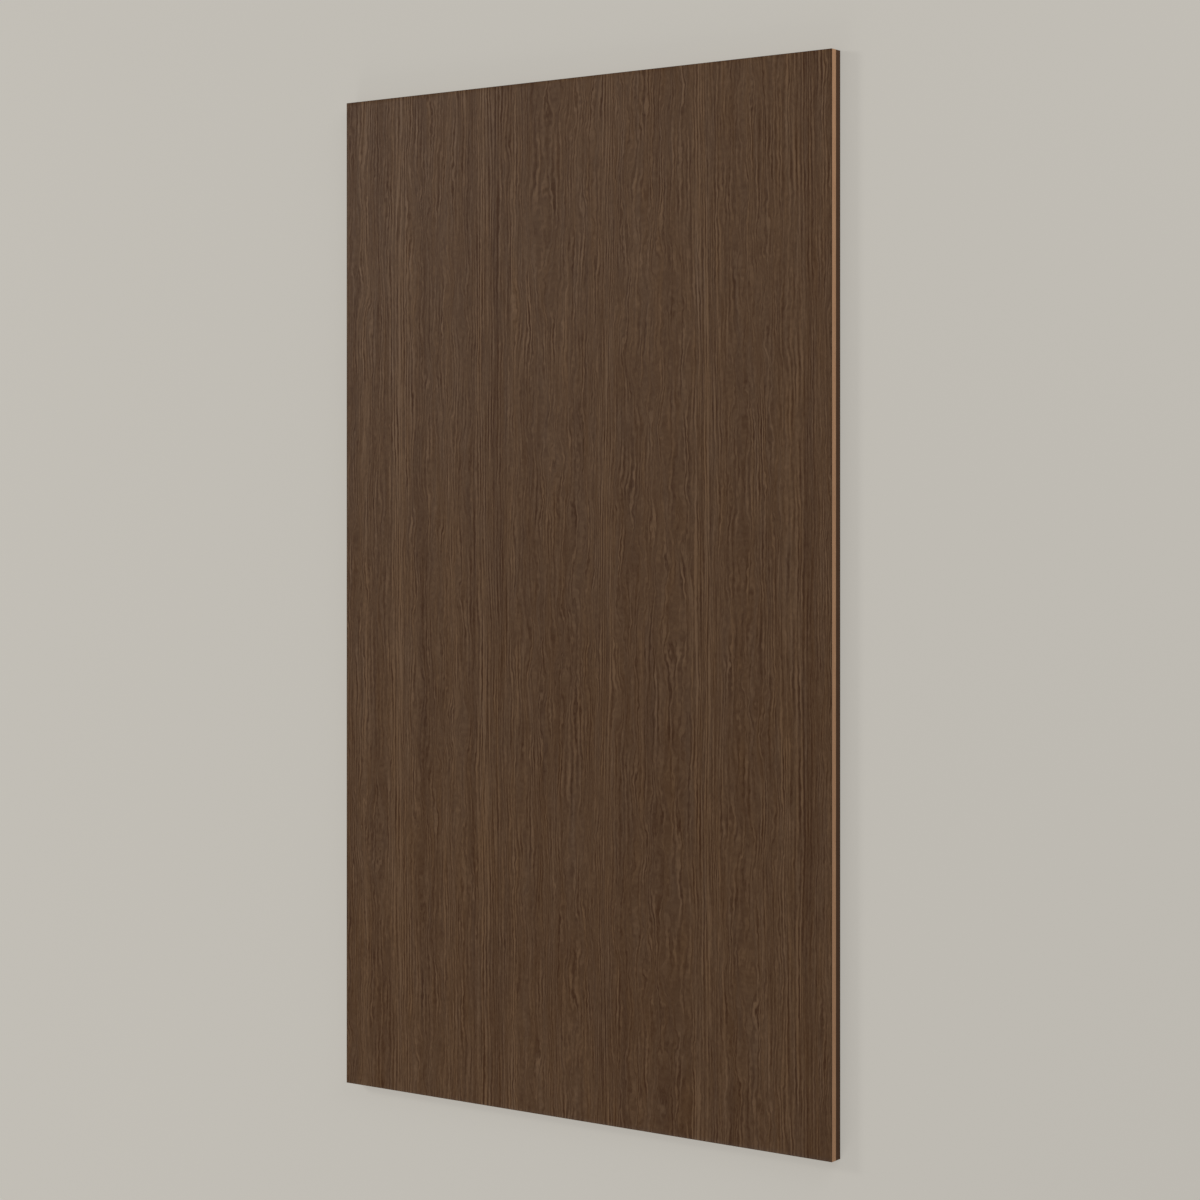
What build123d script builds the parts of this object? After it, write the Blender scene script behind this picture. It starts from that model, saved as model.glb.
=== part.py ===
"""Wall panel lying on its back: two fibreboards glued face to face under a decor sheet.

The origin is the centre of the back face. X runs across the panel, Y along it with the
wood figure, and Z up through the layers to the decor face.
"""

import os

from build123d import *

# Outline of the sawn panel, in millimetres
panel_width = 1220.0
panel_length = 2135.0

# Layers, from the back to the face
backing_thickness = 17.0
core_thickness = 15.0
laminate_thickness = 1.0

# Small 45 degree breaks where hands and tools meet the edges
backing_arris = 0.8  # sanded round the back face
laminate_arris = 0.3  # filed round the decor face after trimming

# Glue lines, as heights above the back face
core_level = backing_thickness
laminate_level = core_level + core_thickness

os.makedirs("parts", exist_ok=True)

# Dark fibreboard that lies against the wall, sanded at its back edges
with BuildPart() as backing_board:
    with BuildSketch(Plane.XY):
        Rectangle(panel_width, panel_length)
    extrude(amount=backing_thickness)
    back_face = backing_board.faces().sort_by(Axis.Z)[0]
    chamfer(back_face.edges(), length=backing_arris)
backing_board.part.label = "backing_board"

# Tan fibreboard, sawn square and glued between the backing and the decor sheet
with BuildPart() as core_board:
    with BuildSketch(Plane.XY.offset(core_level)):
        Rectangle(panel_width, panel_length)
    extrude(amount=core_thickness)
core_board.part.label = "core_board"

# Decor sheet pressed on the core, trimmed flush with the sawn edges
with BuildPart() as face_laminate:
    with BuildSketch(Plane.XY.offset(laminate_level)):
        Rectangle(panel_width, panel_length)
    extrude(amount=laminate_thickness)
    decor_face = face_laminate.faces().sort_by(Axis.Z)[-1]
    chamfer(decor_face.edges(), length=laminate_arris)
face_laminate.part.label = "face_laminate"

for piece in (backing_board, core_board, face_laminate):
    export_step(piece.part, f"parts/{piece.part.label}.step")
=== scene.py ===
"""Blender looks for a wood-grain wall panel that lies on its back, decor face up."""

import math

import bpy
import numpy as np
from mathutils import Matrix, Vector


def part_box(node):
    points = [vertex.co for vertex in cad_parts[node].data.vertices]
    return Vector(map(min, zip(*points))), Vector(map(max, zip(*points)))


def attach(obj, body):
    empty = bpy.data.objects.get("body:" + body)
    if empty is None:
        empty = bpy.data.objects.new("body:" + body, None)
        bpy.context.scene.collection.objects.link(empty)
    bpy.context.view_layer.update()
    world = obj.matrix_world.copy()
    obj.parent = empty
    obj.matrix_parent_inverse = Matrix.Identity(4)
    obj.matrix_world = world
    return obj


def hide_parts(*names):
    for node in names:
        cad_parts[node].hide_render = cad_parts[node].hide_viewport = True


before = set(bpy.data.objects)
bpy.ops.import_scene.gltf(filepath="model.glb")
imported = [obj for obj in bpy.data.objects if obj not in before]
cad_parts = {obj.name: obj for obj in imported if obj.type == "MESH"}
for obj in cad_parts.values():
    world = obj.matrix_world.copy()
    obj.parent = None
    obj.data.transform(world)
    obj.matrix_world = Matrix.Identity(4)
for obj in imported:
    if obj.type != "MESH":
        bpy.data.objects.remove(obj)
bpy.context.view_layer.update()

MM = 0.001


# Backing board
# A dark brown fibreboard, dyed through, that lies against the wall. It is pressed from fine
# fibre, sawn with the rest of the panel and sanded on its back.


def srgb(red, green, blue):
    """The linear colour, with alpha, of a colour given as 0 to 255 screen steps."""
    screen = np.array((red, green, blue)) / 255.0
    linear = np.where(screen <= 0.04045, screen / 12.92, ((screen + 0.055) / 1.055) ** 2.4)
    return (*linear.tolist(), 1.0)


def feed(tree, node, feeds):
    """Links a socket, or sets a number or colour, on each input that the feeds name."""
    for name, source in feeds.items():
        if isinstance(source, bpy.types.NodeSocket):
            tree.links.new(source, node.inputs[name])
        else:
            node.inputs[name].default_value = source


def add_node(tree, kind, feeds=None, **settings):
    """A new node of this kind, with its settings made and its inputs fed."""
    node = tree.nodes.new(kind)
    for name, value in settings.items():
        setattr(node, name, value)
    feed(tree, node, feeds or {})
    return node


def calc(tree, operation, *terms):
    """The result of a Math node on one to three terms, each a number or a socket."""
    return add_node(tree, "ShaderNodeMath", dict(enumerate(terms)), operation=operation).outputs[0]


def fade(tree, value, start, end, kind="SMOOTHSTEP"):
    """A mask that goes from 0 at the start value to 1 at the end value, smoothly or evenly."""
    feeds = {"Value": value, "From Min": start, "From Max": end}
    return add_node(tree, "ShaderNodeMapRange", feeds, interpolation_type=kind).outputs["Result"]


def speckle(tree, point, size, detail=2.0, roughness=0.55, shift=0.0, dimensions="3D"):
    """Noise about 0, from -1 to 1, whose patches measure size along X, Y and Z in millimetres.
    The shift moves the noise aside, so that no two marks of a material are alike."""
    feeds = {0: point, 1: tuple(1.0 / side for side in size), 2: (shift, 1.7 * shift, 0.0)}
    scaled = add_node(tree, "ShaderNodeVectorMath", feeds, operation="MULTIPLY_ADD").outputs[0]
    feeds = {"Vector": scaled, "Scale": 1.0, "Detail": detail, "Roughness": roughness}
    noise = add_node(tree, "ShaderNodeTexNoise", feeds, noise_dimensions=dimensions)
    return calc(tree, "MULTIPLY_ADD", noise.outputs["Fac"], 2.0, -1.0)


# Marks of a sawn edge: their size along X, Y and Z in millimetres, and how far they move the
# colour from the mean shade, half way between the board's dark and light ones
mean_shade = 0.5
fibre_size, fibre_shade = (0.7, 0.7, 0.35), 0.35
felt_size, felt_shade = (3.5, 3.5, 0.9), 0.25
cloud_size, cloud_shade = (60.0, 60.0, 9.0), 0.3
saw_size, saw_shade = (1.1, 1.1, 26.0), 0.2

# The dense skin and the glue beside a glued face: how near to it they start to show and show
# in full, in millimetres, and how far they move the colour
skin_reach, skin_shade = (3.0, 0.2), -0.12
glue_reach, glue_shade = (0.35, 0.1), -0.5

# Heights of the saw's ticks and of the glue, where the fibre's is 1, and the roughness, with
# how far the fibre moves it
saw_height, glue_height = 0.6, -1.5
board_roughness, fibre_roughness = 0.8, 0.08


def fibre_group():
    """A node group for a sawn fibreboard: fine fibre and soft clouds between two colours, a
    denser skin and a line of glue beside each glued face, and ticks of the saw."""
    tree = bpy.data.node_groups.new("pressed_fibre", "ShaderNodeTree")
    sockets = (
        ("Place", "INPUT", "NodeSocketVector"),
        ("Dark", "INPUT", "NodeSocketColor"),
        ("Light", "INPUT", "NodeSocketColor"),
        ("Low Glue", "INPUT", "NodeSocketFloat"),
        ("High Glue", "INPUT", "NodeSocketFloat"),
        ("Color", "OUTPUT", "NodeSocketColor"),
        ("Height", "OUTPUT", "NodeSocketFloat"),
        ("Roughness", "OUTPUT", "NodeSocketFloat"),
    )
    for name, side, kind in sockets:
        tree.interface.new_socket(name=name, in_out=side, socket_type=kind)
    given = add_node(tree, "NodeGroupInput").outputs
    place = given["Place"]
    fibre = speckle(tree, place, fibre_size, detail=3.0)
    felt = speckle(tree, place, felt_size, shift=3.1)
    cloud = speckle(tree, place, cloud_size, shift=7.7)
    saw = speckle(tree, place, saw_size, shift=11.3)

    # The skin and the glue follow the distance to the nearer of the two glued faces
    level = add_node(tree, "ShaderNodeSeparateXYZ", {0: place}).outputs["Z"]
    above_low = calc(tree, "SUBTRACT", level, given["Low Glue"])
    below_high = calc(tree, "SUBTRACT", given["High Glue"], level)
    nearest = calc(tree, "MINIMUM", above_low, below_high)
    skin = fade(tree, nearest, *skin_reach)
    glue = fade(tree, nearest, *glue_reach)

    shade = calc(tree, "MULTIPLY_ADD", fibre, fibre_shade, mean_shade)
    marks = (
        (felt, felt_shade),
        (cloud, cloud_shade),
        (saw, saw_shade),
        (skin, skin_shade),
        (glue, glue_shade),
    )
    for mark, strength in marks:
        shade = calc(tree, "MULTIPLY_ADD", mark, strength, shade)
    # A Mix node's colours are its inputs 6 and 7 and its output 2
    feeds = {"Factor": shade, 6: given["Dark"], 7: given["Light"]}
    colour = add_node(tree, "ShaderNodeMix", feeds, data_type="RGBA").outputs[2]
    height = calc(tree, "MULTIPLY_ADD", saw, saw_height, fibre)
    height = calc(tree, "MULTIPLY_ADD", glue, glue_height, height)
    rough = calc(tree, "MULTIPLY_ADD", fibre, fibre_roughness, board_roughness)
    add_node(tree, "NodeGroupOutput", {"Color": colour, "Height": height, "Roughness": rough})
    return tree


pressed_fibre = fibre_group()

# The depth of the fibre's nap in millimetres and how strongly it shows, and the board's gloss
nap_depth, nap_strength = 0.05, 0.6
board_specular = 0.2


def blank_material(name):
    """A new material, its node tree and its Principled shader."""
    material = bpy.data.materials.new(name)
    material.use_nodes = True
    return material, material.node_tree, material.node_tree.nodes["Principled BSDF"]


def place_in_mm(tree):
    """The place on the object in millimetres, from its Object coordinates."""
    coordinates = add_node(tree, "ShaderNodeTexCoord").outputs["Object"]
    feeds = {"Vector": coordinates, "Scale": (1 / MM,) * 3}
    return add_node(tree, "ShaderNodeMapping", feeds).outputs[0]


def fibreboard(name, dark, light, low_glue, high_glue):
    """The material of a sawn board between two colours, glued at two heights in millimetres."""
    material, tree, shader = blank_material(name)
    feeds = {"Place": place_in_mm(tree), "Dark": dark, "Light": light}
    feeds |= {"Low Glue": low_glue, "High Glue": high_glue}
    fibre = add_node(tree, "ShaderNodeGroup", feeds, node_tree=pressed_fibre).outputs
    feeds = {"Height": fibre["Height"], "Distance": nap_depth * MM, "Strength": nap_strength}
    nap = add_node(tree, "ShaderNodeBump", feeds).outputs["Normal"]
    feeds = {"Base Color": fibre["Color"], "Roughness": fibre["Roughness"], "Normal": nap}
    feed(tree, shader, feeds | {"Specular IOR Level": board_specular})
    return material


def dress(node, material):
    """Puts the material on every slot of a CAD node, or on a first one if it has none."""
    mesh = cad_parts[node].data
    for slot in range(len(mesh.materials)):
        mesh.materials[slot] = material
    if not mesh.materials:
        mesh.materials.append(material)


# Heights of the glue, in millimetres. Where there is none below or above, it is put far off.
core_low, core_high = (corner[2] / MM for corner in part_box("core_board"))
no_glue_below, no_glue_above = -1000.0, 1000.0

backing_dark, backing_light = srgb(60, 40, 27), srgb(84, 59, 40)
backing_fibre = fibreboard("backing_fibre", backing_dark, backing_light, no_glue_below, core_low)
dress("backing_board", backing_fibre)


# Core board
# A tan fibreboard, undyed, glued on the backing and under the decor sheet. Only its sawn
# edges show.

core_dark, core_light = srgb(148, 110, 81), srgb(181, 142, 109)
core_fibre = fibreboard("core_fibre", core_dark, core_light, core_low, core_high)
dress("core_board", core_fibre)


# Decor sheet
# A thin sheet of resin and paper with a printed walnut figure, pressed on the core and
# trimmed flush. The press gives it a faint relief that follows the printed lines.

# Sizes in millimetres, and how many faces the top has across the panel and along it
sheet_low, sheet_high = (np.array(corner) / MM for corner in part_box("face_laminate"))
sheet_arris = 0.3
sheet_columns, sheet_rows = 488, 195
relief_depth = 0.05
line_spacing = 8.2


def wander(x, y, size, seed, waves=48):
    """A smooth random height over x and y that varies over about the size along each: the sum
    of plane waves whose directions, lengths and phases are drawn at random, times the root of
    2 over their number, so that its mean square is 1."""
    draw = np.random.default_rng(seed)
    turn_x = draw.normal(0.0, 1.0 / size[0], waves)
    turn_y = draw.normal(0.0, 1.0 / size[1], waves)
    phase = draw.uniform(0.0, 2.0 * np.pi, waves)
    total = np.zeros_like(x)
    for wave in range(waves):
        total += np.cos(turn_x[wave] * x + turn_y[wave] * y + phase[wave])
    return total * math.sqrt(2.0 / waves)


def hump(distance, half_width):
    """A bell: e to the power of minus half the square of the distance over the half width."""
    return np.exp(-0.5 * (distance / half_width) ** 2)


def rise(value, width):
    """A soft step from 0 to 1: 1 over 1 plus e to the power of minus the value over the width."""
    return 1.0 / (1.0 + np.exp(-value / width))


side_x = np.linspace(sheet_low[0] + sheet_arris, sheet_high[0] - sheet_arris, sheet_columns + 1)
side_y = np.linspace(sheet_low[1] + sheet_arris, sheet_high[1] - sheet_arris, sheet_rows + 1)
x, y = np.meshgrid(side_x, side_y)

# Calm stripes, where the figure runs straight: place from the left edge and half width
calm_stripes = ((145.0, 22.0), (395.0, 40.0), (690.0, 14.0), (935.0, 26.0), (1150.0, 34.0))
calm = 0.0
for calm_middle, calm_half_width in calm_stripes:
    calm = calm + hump(x - sheet_low[0] - calm_middle, calm_half_width)

# Between them it is lively, and its lines close into eyes and flames: the share of that which
# a calm stripe takes away and the share which comes in patches, with how far the patches
# spread and how soft they are
calm_share, patch_share = 0.92, 0.75
patch_spread, patch_softness = 0.1, 0.5
patch = rise(wander(x, y, (16.0, 60.0), seed=11) + patch_spread, patch_softness)
lively = (1.0 - calm_share * np.minimum(calm, 1.0)) * (1.0 - patch_share + patch_share * patch)

# The grain is pushed aside, in millimetres: the whole plank leans, and its lines ripple, and
# swirl where they are lively
lean_push, ripple_push, swirl_push = 5.0, 1.2, 2.2
lean = lean_push * wander(x, y, (190.0, 800.0), seed=12)
ripple = ripple_push * wander(x, y, (30.0, 90.0), seed=13)
swirl = swirl_push * lively * wander(x, y, (12.0, 40.0), seed=14)
across = x + lean + ripple + swirl
from_left = x + ripple + swirl - sheet_low[0]
from_top = sheet_high[1] - y

# The plank's light and dark stripes: place from the left edge, half width, and strength in
# screen steps, which swings by this share along the plank
stripe_swing = 0.35
stripes = (
    (18.0, 10.0, -2.4),
    (52.0, 10.0, 3.4),
    (90.0, 11.0, -4.2),
    (148.0, 11.0, 3.4),
    (174.0, 12.0, 1.6),
    (216.0, 9.0, -2.6),
    (290.0, 14.0, 1.6),
    (346.0, 8.0, -3.2),
    (377.0, 12.0, 2.6),
    (412.0, 12.0, -2.8),
    (456.0, 7.0, 2.4),
    (508.0, 9.0, -1.4),
    (702.0, 13.0, 1.5),
    (742.0, 12.0, -1.3),
    (854.0, 12.0, -1.9),
    (912.0, 5.0, 3.8),
    (936.0, 4.0, 4.0),
    (958.0, 12.0, 1.6),
    (1003.0, 13.0, -3.0),
    (1046.0, 11.0, 1.5),
    (1120.0, 14.0, 2.2),
    (1170.0, 10.0, -3.6),
)
# Under them the tone wanders by about half a step, in narrow bands and in wide ones
wander_steps = 0.5
stripe = wander_steps * wander(across, y, (9.0, 420.0), seed=15)
stripe += wander_steps * wander(across, y, (30.0, 300.0), seed=16)
for stripe_middle, stripe_half_width, stripe_strength in stripes:
    swing = 1.0 + stripe_swing * wander(across, y, (40.0, 330.0), seed=int(stripe_middle))
    stripe += stripe_strength * hump(from_left - stripe_middle, stripe_half_width) * swing

# The boldest thin lines: place from the left edge, start and end from the top, and strength
bold_half_width, bold_softness = 2.2, 40.0
bold_lines = (
    (54.0, 620.0, 1800.0, 5.0),
    (131.0, -200.0, 310.0, 6.0),
    (124.0, 280.0, 640.0, 5.0),
    (150.0, 300.0, 640.0, 5.0),
    (143.0, 600.0, 930.0, 8.0),
    (152.0, 900.0, 2300.0, 6.0),
    (161.0, 1200.0, 1550.0, -5.0),
    (89.0, -200.0, 620.0, -4.0),
    (218.0, 300.0, 620.0, -5.0),
    (352.0, 620.0, 2300.0, -4.5),
    (360.0, 600.0, 1850.0, 5.0),
    (408.0, 280.0, 640.0, -7.0),
    (420.0, 300.0, 640.0, 6.0),
    (427.0, 900.0, 1230.0, -6.0),
    (458.0, -200.0, 620.0, 5.0),
    (592.0, 330.0, 600.0, 5.0),
    (690.0, 600.0, 940.0, 5.0),
    (923.0, 300.0, 1240.0, -5.5),
    (935.0, 290.0, 620.0, 15.0),
    (932.0, 600.0, 1230.0, 5.5),
    (909.0, 910.0, 1540.0, 7.5),
    (952.0, -200.0, 600.0, -5.0),
    (1110.0, -200.0, 1230.0, -4.0),
    (1148.0, 620.0, 1850.0, 4.5),
)
for bold_middle, start, end, bold_strength in bold_lines:
    shown = rise(from_top - start, bold_softness) * rise(end - from_top, bold_softness)
    stripe += bold_strength * hump(from_left - bold_middle, bold_half_width) * shown

# Growth rings, as a count across the panel that drifts by about a ring. Where the figure is
# lively, they bend into small and large eyes.
ring_drift, eye_bend = 0.8, 0.35
rings = across / line_spacing + ring_drift * wander(across, y, (40.0, 900.0), seed=17)
small_eyes = wander(x, y, (9.0, 30.0), seed=18)
large_eyes = wander(x, y, (16.0, 60.0), seed=19)
rings += lively * (eye_bend * small_eyes + eye_bend * large_eyes)

# The relief: a groove for each ring, by the cosine of a full turn for each
depth = relief_depth * (0.5 - 0.5 * np.cos(2.0 * np.pi * rings))
z = sheet_high[2] - depth

# Where the parts of the sheet lie across its texture map, whose height is the panel's length
face_share, under_share = (0.002, 0.95), (0.957, 0.973)
arris_share, edge_share = (0.979, 0.984), (0.984, 0.997)
height_share = (0.002, 0.998)


def spread(share, part):
    """The place in a share of the map, given as its ends, of a part that runs from 0 to 1."""
    return share[0] + (share[1] - share[0]) * part


def fan(hub, edge):
    """Triangles between one point and each two neighbours along an edge."""
    return np.stack([np.full(len(edge) - 1, hub), edge[:-1], edge[1:]], 1)


def sheet_mesh(name):
    """A closed sheet: a grid of top faces at the heights z over x and y, a slanted ring down
    to the rim, an upright ring down to the glue line, and a flat underside of long strips."""
    rows, columns = x.shape
    top = np.stack([x, y, z], axis=2).reshape(-1, 3)
    index = np.arange(rows * columns).reshape(rows, columns)
    loop = np.concatenate([index[0, :-1], index[:-1, -1], index[-1, :0:-1], index[:0:-1, 0]])
    stretch = (sheet_high - sheet_low) / (sheet_high - sheet_low - 2.0 * sheet_arris)
    outer = top[loop] * (stretch[0], stretch[1], 1.0)
    rim = np.column_stack([outer[:, :2], np.full(len(loop), sheet_high[2] - sheet_arris)])
    foot = np.column_stack([outer[:, :2], np.full(len(loop), sheet_low[2])])
    points = np.concatenate([top, rim, foot]) * MM

    # The top, and the two rings round it, whose faces join each point to the next
    near, far = index[:-1], index[1:]
    quads = np.stack([near[:, :-1], near[:, 1:], far[:, 1:], far[:, :-1]], 2).reshape(-1, 4)
    rim_at = len(top) + np.arange(len(loop))
    foot_at = rim_at + len(loop)
    next_top, next_rim, next_foot = (np.roll(ring, -1) for ring in (loop, rim_at, foot_at))
    slant = np.stack([loop, rim_at, next_rim, next_top], 1)
    upright = np.stack([rim_at, foot_at, next_foot, next_rim], 1)

    # The underside: one long strip for each column but the first and the last, where two fans
    # with a triangle between them reach the many points of the long edge
    south = foot_at[:columns]
    east = foot_at[columns - 1 : columns + rows - 1]
    north = foot_at[columns + rows - 2 : 2 * columns + rows - 2][::-1]
    west = np.append(foot_at[2 * columns + rows - 3 :], foot_at[0])[::-1]
    strips = np.stack([south[1:-2], north[1:-2], north[2:-1], south[2:-1]], 1)
    half = rows // 2
    fans = [
        fan(south[1], west[: half + 1]),
        fan(north[1], west[half:]),
        np.array([[south[1], west[half], north[1]]]),
        fan(south[-2], east[: half + 1])[:, ::-1],
        fan(north[-2], east[half:])[:, ::-1],
        np.array([[south[-2], north[-2], east[half]]]),
    ]
    parts = (quads, slant, upright, strips, np.concatenate(fans))
    mesh = bpy.data.meshes.new(name)
    mesh.from_pydata(points, [], [face for part in parts for face in part.tolist()])
    mesh.validate()

    # The top is smooth and has the first material, the figure. The rest is unprinted: it is
    # flat and has the second, the edge's.
    unprinted = np.arange(len(mesh.polygons)) >= len(quads)
    mesh.polygons.foreach_set("material_index", unprinted.astype(np.int32))
    mesh.polygons.foreach_set("use_smooth", ~unprinted)

    # The texture map: the top and the underside in plan, and the two rings unrolled
    corners = np.zeros(len(mesh.loops), np.int32)
    mesh.loops.foreach_get("vertex_index", corners)
    plan = (points[corners, :2] / MM - sheet_low[:2]) / (sheet_high - sheet_low)[:2]
    top_end = quads.size
    under_start = top_end + slant.size + upright.size
    down = np.tile([0.0, 1.0, 1.0, 0.0], len(loop))
    along = ((np.arange(len(loop))[:, None] + [0, 0, 1, 1]) / len(loop)).reshape(-1)
    map_x = (
        spread(face_share, plan[:top_end, 0]),
        spread(arris_share, down),
        spread(edge_share, down),
        spread(under_share, plan[under_start:, 0]),
    )
    map_y = (plan[:top_end, 1], along, along, plan[under_start:, 1])
    places = [np.concatenate(map_x), spread(height_share, np.concatenate(map_y))]
    layer = mesh.uv_layers.new(name="OFBake")
    layer.data.foreach_set("uv", np.column_stack(places).reshape(-1))

    # What the figure's material reads at each point. The rings round the top repeat its edge.
    for label, field in (("rings", rings), ("stripe", stripe), ("lively", lively)):
        values = field.reshape(-1)
        values = np.concatenate([values, values[loop], values[loop]]).astype(np.float32)
        mesh.attributes.new(label, "FLOAT", "POINT").data.foreach_set("value", values)
    return mesh


# The curl and the crimp, bends too small for the mesh: width, length, how far they push the
# calm lines aside, how much further the lively ones, all in millimetres, and shift
bends = ((10.0, 34.0, 1.5, 3.6, 0.0), (5.5, 15.0, 0.4, 2.3, 37.9))
bend_roughness = 0.55

# Printed streaks along the grain: width and length in millimetres, strength in screen steps,
# and shift. The fine ones are pressed into the face as well.
fine_streaks = ((3.4, 10.0, 7.0, 2.9), (3.9, 50.0, 7.5, 8.2), (4.4, 400.0, 6.6, 13.5))
broad_streaks = (
    (11.0, 32.0, 1.5, 18.8),
    (13.0, 2500.0, 1.8, 24.1),
    (30.0, 80.0, 2.2, 29.4),
    (30.0, 900.0, 3.4, 34.7),
    (60.0, 300.0, 2.5, 40.0),
)

# Dark growth lines, which come and go in patches, between two levels of the noise. One run
# has a line for each ring: the width, length and shift of its patches, and its strength.
patch_levels = (-0.4, 0.6)
ring_width, ring_length, ring_shift = 18.0, 95.0, 61.7
ring_strength = 9.2

# Two straighter runs drift by about a turn and lose a share of their strength where the figure
# is lively: their spacing, strength, and shifts of the drift and of the patches
straight_runs = ((7.9, 13.0, 47.3, 67.3), (9.2, 8.5, 53.9, 73.9))
straight_width, straight_length = 15.0, 170.0
straight_loss = 0.7
drift_width, drift_length, drift_turns = 26.0, 500.0, 1.2

# All are stronger in a light stripe: their share without one, and its gain for a screen step
growth_share, growth_gain = 0.9, 0.1

# Colours of the darkest, mean and lightest tone, how many screen steps the first and last are
# from the mean, and streaks that make the colour more or less strong by a share
walnut_dark, walnut_mean = srgb(57.5, 35.5, 18.6), srgb(75.4, 54.2, 36.2)
walnut_light = srgb(94.0, 71.0, 50.5)
tone_swing = 15.0
warm_streaks = ((9.0, 150.0, 0.045, 83.1), (30.0, 300.0, 0.045, 91.3))

# The depth of the finest pressed lines in millimetres and how strongly they show, the face's
# roughness and how much a screen step of the growth lines adds to it, and the face's gloss
press_depth, press_strength = 0.01, 0.5
face_roughness, growth_roughness = 0.55, 0.005
face_specular = 0.075


def streak(tree, point, width, length, shift, roughness=0.5):
    """Noise about 0 whose patches are this wide across the grain and this long along it."""
    size = (width, length, 1.0)
    return speckle(tree, point, size, 1.0, roughness, shift, dimensions="2D")


def add_streaks(tree, point, streaks, total):
    """The total with each streak added, given as its width, length, strength and shift."""
    for width, length, strength, shift in streaks:
        patches = streak(tree, point, width, length, shift)
        total = calc(tree, "MULTIPLY_ADD", patches, strength, total)
    return total


def come_and_go(tree, point, turn, width, length, shift):
    """A run of waves, the cosine of a full circle for each turn, that shows only in patches of
    this width and length."""
    wave = calc(tree, "COSINE", calc(tree, "MULTIPLY", turn, 2.0 * math.pi))
    shown = fade(tree, streak(tree, point, width, length, shift), *patch_levels)
    return calc(tree, "MULTIPLY", wave, shown)


def decor_figure(name):
    """The printed face's material. Its tone, in screen steps about the mean, is the sum of the
    plank's stripes and of fine and broad streaks, less the dark growth lines. All but the
    stripes follow the rings, bent aside by the curl and the crimp."""
    material, tree, shader = blank_material(name)
    place = place_in_mm(tree)
    ring_count, stripe_tone, liveliness = (
        add_node(tree, "ShaderNodeAttribute", attribute_name=label).outputs["Fac"]
        for label in ("rings", "stripe", "lively")
    )
    aside = 0.0
    for width, length, calm_push, lively_push, shift in bends:
        bend = streak(tree, place, width, length, shift, bend_roughness)
        push = calc(tree, "MULTIPLY_ADD", liveliness, lively_push, calm_push)
        aside = calc(tree, "MULTIPLY_ADD", bend, push, aside)
    turn = calc(tree, "MULTIPLY_ADD", aside, 1.0 / line_spacing, ring_count)
    bent_across = calc(tree, "MULTIPLY", turn, line_spacing)
    along = add_node(tree, "ShaderNodeSeparateXYZ", {0: place}).outputs["Y"]
    bent = add_node(tree, "ShaderNodeCombineXYZ", {0: bent_across, 1: along}).outputs[0]

    fine = add_streaks(tree, bent, fine_streaks, 0.0)
    tone = add_streaks(tree, bent, broad_streaks, calc(tree, "ADD", stripe_tone, fine))
    ring_run = come_and_go(tree, bent, turn, ring_width, ring_length, ring_shift)
    growth = calc(tree, "MULTIPLY", ring_run, ring_strength)
    straight = calc(tree, "MULTIPLY_ADD", liveliness, -straight_loss, 1.0)
    for spacing, strength, drift_shift, patch_shift in straight_runs:
        drift = streak(tree, bent, drift_width, drift_length, drift_shift)
        drift = calc(tree, "MULTIPLY", drift, drift_turns)
        own_turn = calc(tree, "MULTIPLY_ADD", bent_across, 1.0 / spacing, drift)
        run = come_and_go(tree, bent, own_turn, straight_width, straight_length, patch_shift)
        growth = calc(tree, "MULTIPLY_ADD", run, calc(tree, "MULTIPLY", straight, strength), growth)
    light_stripe = calc(tree, "MAXIMUM", stripe_tone, 0.0)
    gain = calc(tree, "MULTIPLY_ADD", light_stripe, growth_gain, growth_share)
    growth = calc(tree, "MULTIPLY", growth, gain)
    tone = calc(tree, "SUBTRACT", tone, growth)

    level = fade(tree, tone, -tone_swing, tone_swing, "LINEAR")
    ramp = add_node(tree, "ShaderNodeValToRGB", {"Fac": level})
    stops = ramp.color_ramp.elements
    stops[0].color, stops[1].color = walnut_dark, walnut_light
    stops.new(0.5).color = walnut_mean
    saturation = add_streaks(tree, bent, warm_streaks, 1.0)
    feeds = {"Color": ramp.outputs["Color"], "Saturation": saturation}
    print_colour = add_node(tree, "ShaderNodeHueSaturation", feeds).outputs["Color"]

    height = calc(tree, "SUBTRACT", fine, growth)
    feeds = {"Height": height, "Distance": press_depth * MM, "Strength": press_strength}
    press = add_node(tree, "ShaderNodeBump", feeds).outputs["Normal"]
    rough = calc(tree, "MULTIPLY_ADD", growth, growth_roughness, face_roughness)
    feeds = {"Base Color": print_colour, "Roughness": rough, "Normal": press}
    feed(tree, shader, feeds | {"Specular IOR Level": face_specular})
    return material


def add_object(name, data):
    """A new object of this mesh, lamp or camera, linked to the scene."""
    item = bpy.data.objects.new(name, data)
    bpy.context.scene.collection.objects.link(item)
    return item


edge_dark, edge_light = srgb(36, 24, 17), srgb(54, 37, 26)
decor_edge = fibreboard("decor_edge", edge_dark, edge_light, core_high, no_glue_above)

sheet = add_object("decor_sheet", sheet_mesh("decor_sheet"))
sheet.data.materials.append(decor_figure("decor_figure"))
sheet.data.materials.append(decor_edge)
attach(sheet, "root")
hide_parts("face_laminate")


# Floor
# A plain pale floor with matt paint, wide enough to fill every view. The panel lies on it, but
# it isn't part of the panel.

floor_reach = 40.0
floor_colour = srgb(191, 187, 179)
floor_roughness = 0.9
# How much of what the camera sees is the plain colour, so that the panel's shadow stays light
plain_share = 0.7

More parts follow.
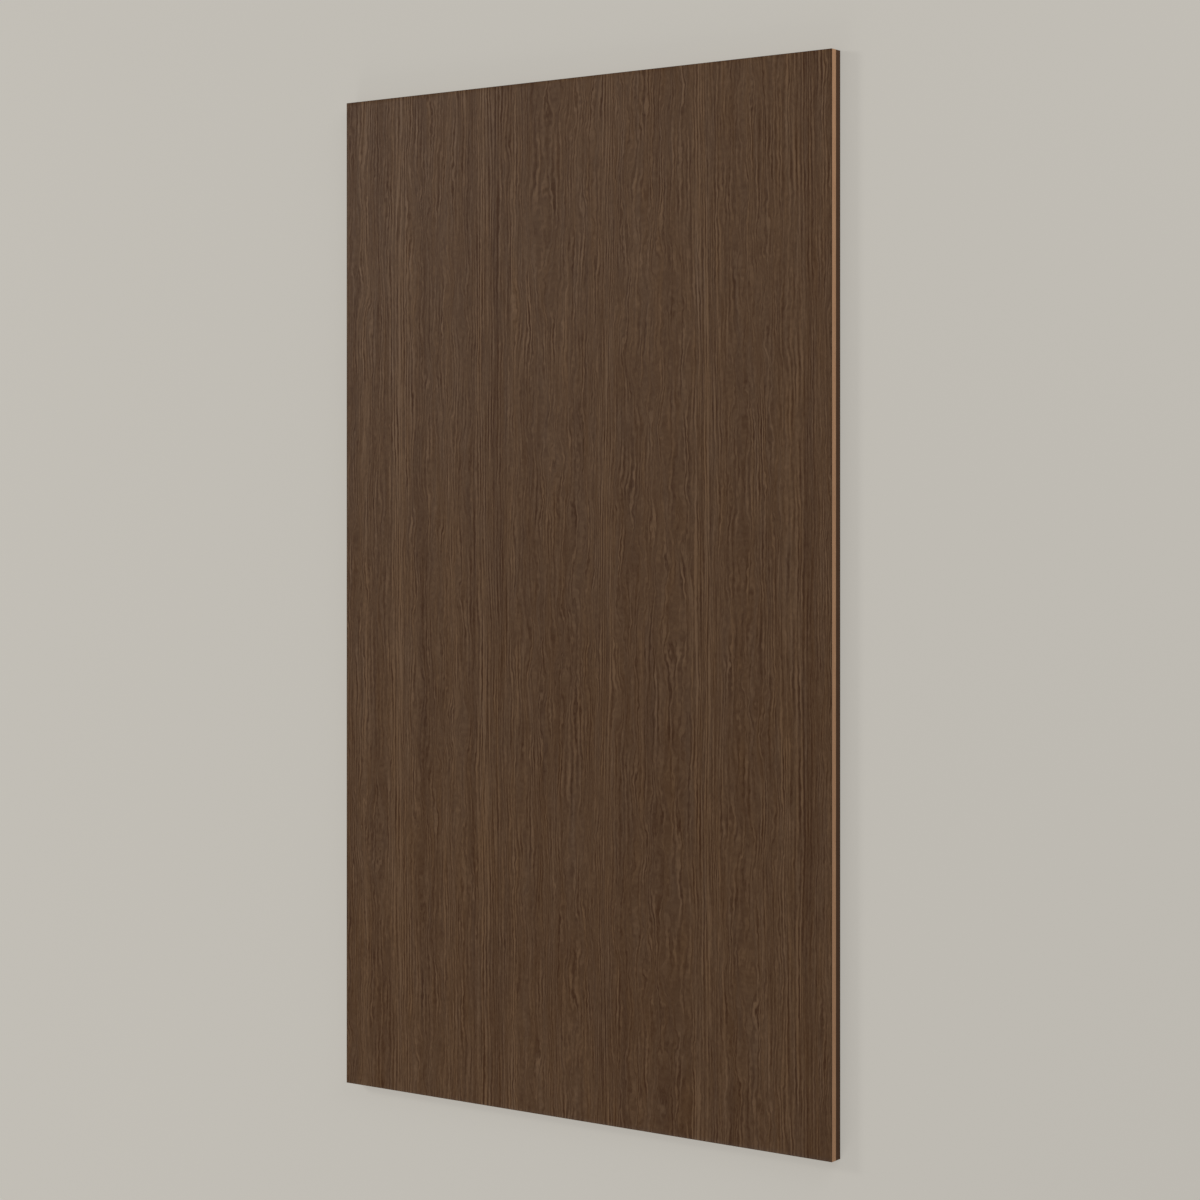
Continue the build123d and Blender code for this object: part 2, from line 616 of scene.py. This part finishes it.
floor_mesh = bpy.data.meshes.new("floor")
floor_corners = [
    (-floor_reach, -floor_reach, 0.0),
    (floor_reach, -floor_reach, 0.0),
    (floor_reach, floor_reach, 0.0),
    (-floor_reach, floor_reach, 0.0),
]
floor_mesh.from_pydata(floor_corners, [], [(0, 1, 2, 3)])
floor = add_object("floor", floor_mesh)

floor_material, floor_tree, floor_shader = blank_material("floor_paint")
feeds = {"Base Color": floor_colour, "Roughness": floor_roughness, "Specular IOR Level": 0.0}
feed(floor_tree, floor_shader, feeds)
path = add_node(floor_tree, "ShaderNodeLightPath").outputs
seen = calc(floor_tree, "MAXIMUM", path["Is Camera Ray"], path["Is Glossy Ray"])
seen = calc(floor_tree, "MAXIMUM", seen, path["Is Transmission Ray"])
plain = calc(floor_tree, "MULTIPLY", seen, plain_share)
glow = add_node(floor_tree, "ShaderNodeEmission", {"Color": floor_colour, "Strength": 1.0})
feeds = {0: plain, 1: floor_shader.outputs[0], 2: glow.outputs[0]}
mixed = add_node(floor_tree, "ShaderNodeMixShader", feeds)
feed(floor_tree, floor_tree.nodes["Material Output"], {"Surface": mixed.outputs[0]})
floor_mesh.materials.append(floor_material)


# Light
# An even sky, and three broad soft lamps that the camera doesn't see: one far to the left,
# whose faint sheen falls on the top left corner, one past the foot, and one low at the right.

sky_colour, sky_strength = (1.0, 1.0, 1.0, 1.0), 0.45

world = bpy.data.worlds.new("studio")
world.use_nodes = True
sky = world.node_tree.nodes["Background"]
feed(world.node_tree, sky, {"Color": sky_colour, "Strength": sky_strength})
bpy.context.scene.world = world


def soft_lamp(name, place, size, power):
    """A square area lamp of this size and power, turned to face the middle of the panel."""
    light = bpy.data.lights.new(name, "AREA")
    light.size = size
    light.energy = power
    lamp = add_object(name, light)
    lamp.location = place
    lamp.rotation_euler = (-Vector(place)).to_track_quat("-Z", "Y").to_euler()
    lamp.visible_camera = False


soft_lamp("key", place=(-5.57, 2.05, 4.58), size=1.5, power=258.0)
soft_lamp("fill", place=(-1.5, -5.52, 2.51), size=3.0, power=142.0)
soft_lamp("side", place=(3.6, 3.2, 2.0), size=3.0, power=118.0)


# Camera
# The camera stands to the right of the lying panel and looks down on it, level with the
# grain, as the photograph's does on the standing one. Its frame is shifted a little towards
# the foot.

camera_place = (3.1944, 0.1972, 4.4641)
camera_turn = math.radians(35.22)

camera_data = bpy.data.cameras.new("camera")
camera_data.sensor_width = 36.0
camera_data.lens = 80.0
camera_data.shift_y = -0.0813
camera_data.clip_end = 200.0
camera = add_object("camera", camera_data)
camera.matrix_world = Matrix.Translation(camera_place) @ Matrix.Rotation(camera_turn, 4, "Y")
bpy.context.scene.camera = camera

bpy.context.scene.view_settings.view_transform = "Standard"
